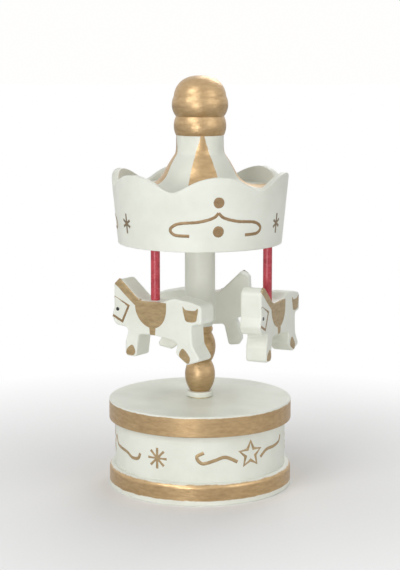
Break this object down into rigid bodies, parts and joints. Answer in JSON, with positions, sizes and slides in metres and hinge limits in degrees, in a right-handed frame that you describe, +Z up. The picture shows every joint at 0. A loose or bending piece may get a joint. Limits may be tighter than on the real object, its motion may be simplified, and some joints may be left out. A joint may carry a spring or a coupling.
{
  "type": "wind-up carousel music box",
  "caption": "Wooden carousel music box with hanging horses under a crown canopy, painted ivory and gold, wound by turning the carousel.",
  "frame": {"origin": "centre of the underside of the base, on the turning axis", "axes": "+Z up along the turning axis; the front faces -Y; +X to the right of the front"},
  "size_m": [0.0837, 0.0862, 0.1788],
  "materials": {
    "ivory_paint": "warm white satin paint on wood",
    "gold_paint": "antique gold paint on wood",
    "crimson_paint": "crimson gloss paint on wood",
    "brass": "turned",
    "steel": "bright",
    "spring_steel": "hardened",
    "cast_zinc": "cast",
    "fan_plastic": "matte"
  },
  "bodies": {
    "base": {"foot_disc": "ivory_paint", "foot_screws": "steel", "base_drum": "ivory_paint", "top_disc": "ivory_paint", "bedplate": "cast_zinc", "plate_screws": "steel", "arbor_bush": "brass", "thrust_washer": "brass", "spring_housing": "brass", "mainspring": "spring_steel", "comb": "spring_steel", "comb_screws": "steel", "cylinder_bearing_inner": "steel", "cylinder_bearing_outer": "steel", "bearing_screws": "steel", "governor_frame": "brass", "governor_screws": "steel"},
    "carousel": {"arbor": "steel", "arbor_clip": "spring_steel", "great_wheel": "brass", "ratchet_wheel": "steel", "click": "steel", "stem_flange": "ivory_paint", "baluster": "gold_paint", "column": "ivory_paint", "canopy_floor": "ivory_paint", "crown": "ivory_paint", "roof_disc": "ivory_paint", "roof_cone": "ivory_paint", "finial": "gold_paint", "pole_1": "crimson_paint", "pole_2": "crimson_paint", "pole_3": "crimson_paint", "horse_1": "ivory_paint", "horse_2": "ivory_paint", "horse_3": "ivory_paint"},
    "cylinder": {"cylinder": "brass", "cylinder_pinion": "brass", "cylinder_wheel": "brass"},
    "governor_wheel": {"governor_wheel": "brass", "governor_pinion": "steel"},
    "governor_worm": {"governor_worm": "steel", "governor_fan": "fan_plastic"}
  },
  "joints": [
    {"name": "carousel_spin", "type": "hinge", "parent": "base", "child": "carousel", "pos_m": [0, 0, 0.0385], "axis": [0, 0, 1], "range_deg": [0, 1890]},
    {"name": "cylinder_spin", "type": "hinge", "parent": "base", "child": "cylinder", "pos_m": [0.0214, 0, 0.019], "axis": [1, 0, 0], "range_deg": [0, 5670]},
    {"name": "governor_wheel_spin", "type": "hinge", "parent": "base", "child": "governor_wheel", "pos_m": [0.021, 0.0102, 0.019], "axis": [1, 0, 0], "range_deg": [-26460, 0]},
    {"name": "governor_worm_spin", "type": "hinge", "parent": "base", "child": "governor_worm", "pos_m": [0.021, 0.0152, 0.019], "axis": [0, 0, 1], "range_deg": [0, 476280]}
  ],
  "couplings": [
    {"joint": "cylinder_spin", "follows": "carousel_spin", "ratio": 3},
    {"joint": "governor_wheel_spin", "follows": "carousel_spin", "ratio": -14},
    {"joint": "governor_worm_spin", "follows": "carousel_spin", "ratio": 252}
  ]
}
